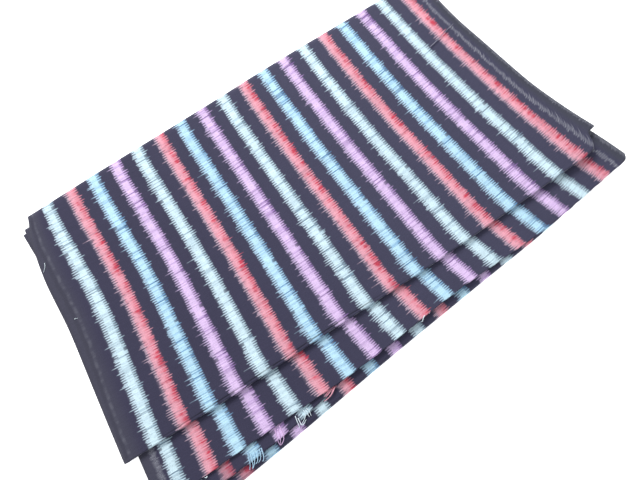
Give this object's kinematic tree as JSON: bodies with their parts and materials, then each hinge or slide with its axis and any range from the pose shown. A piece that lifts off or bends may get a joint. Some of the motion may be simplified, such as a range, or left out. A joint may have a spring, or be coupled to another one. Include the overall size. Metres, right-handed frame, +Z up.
{
  "type": "striped cotton fabric",
  "caption": "A length of dark slate blue cotton with feathered stripes running along it, folded back and forth and lying flat, its near edges stepped.",
  "frame": {"origin": "under the middle of the folded cloth, on the surface it lies on", "axes": "+X across the cloth from its left selvedge to its right one, +Y along its stripes from the near folds to the far folds, +Z up"},
  "size_m": [0.3851, 0.2496, 0.013],
  "materials": {
    "cotton": "matt plain-weave cotton, feathered stripes in white, red, blue and lilac"
  },
  "bodies": {
    "root": {"folded_cloth": "cotton"}
  },
  "joints": []
}
